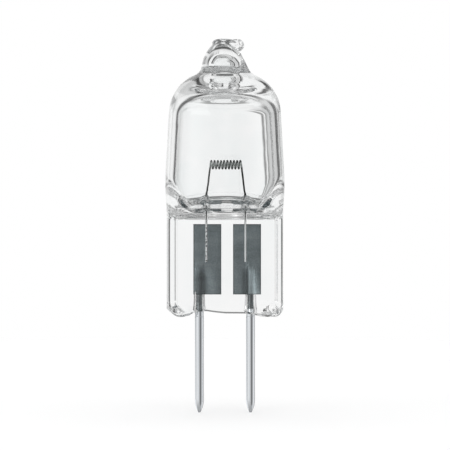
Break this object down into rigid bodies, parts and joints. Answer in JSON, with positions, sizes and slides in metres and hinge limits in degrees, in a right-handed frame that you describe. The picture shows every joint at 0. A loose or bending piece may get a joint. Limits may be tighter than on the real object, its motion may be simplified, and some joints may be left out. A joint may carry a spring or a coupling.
{
  "type": "halogen capsule bulb",
  "caption": "Clear quartz capsule lamp with a pressed flat seal, a coiled tungsten filament, foils sealed in the quartz and straight contact pins for a push-in holder.",
  "frame": {"origin": "midway between the contact pins, on the plane where the quartz seal ends", "axes": "+Z from the pins to the tip, +X along the row of pins, -Y towards the front, where the leads lie on the foils"},
  "size_m": [0.0094, 0.0094, 0.0292],
  "materials": {
    "quartz": "clear fused quartz, fire-polished",
    "tungsten": "drawn tungsten wire, satin",
    "molybdenum_foil": "rolled and etched molybdenum foil, dull grey",
    "pin_metal": "drawn molybdenum wire, plated bright below the quartz"
  },
  "bodies": {
    "root": {"quartz_envelope": "quartz", "filament": "tungsten", "foil_left": "molybdenum_foil", "foil_right": "molybdenum_foil", "pin_left": "pin_metal", "pin_right": "pin_metal"}
  },
  "joints": []
}
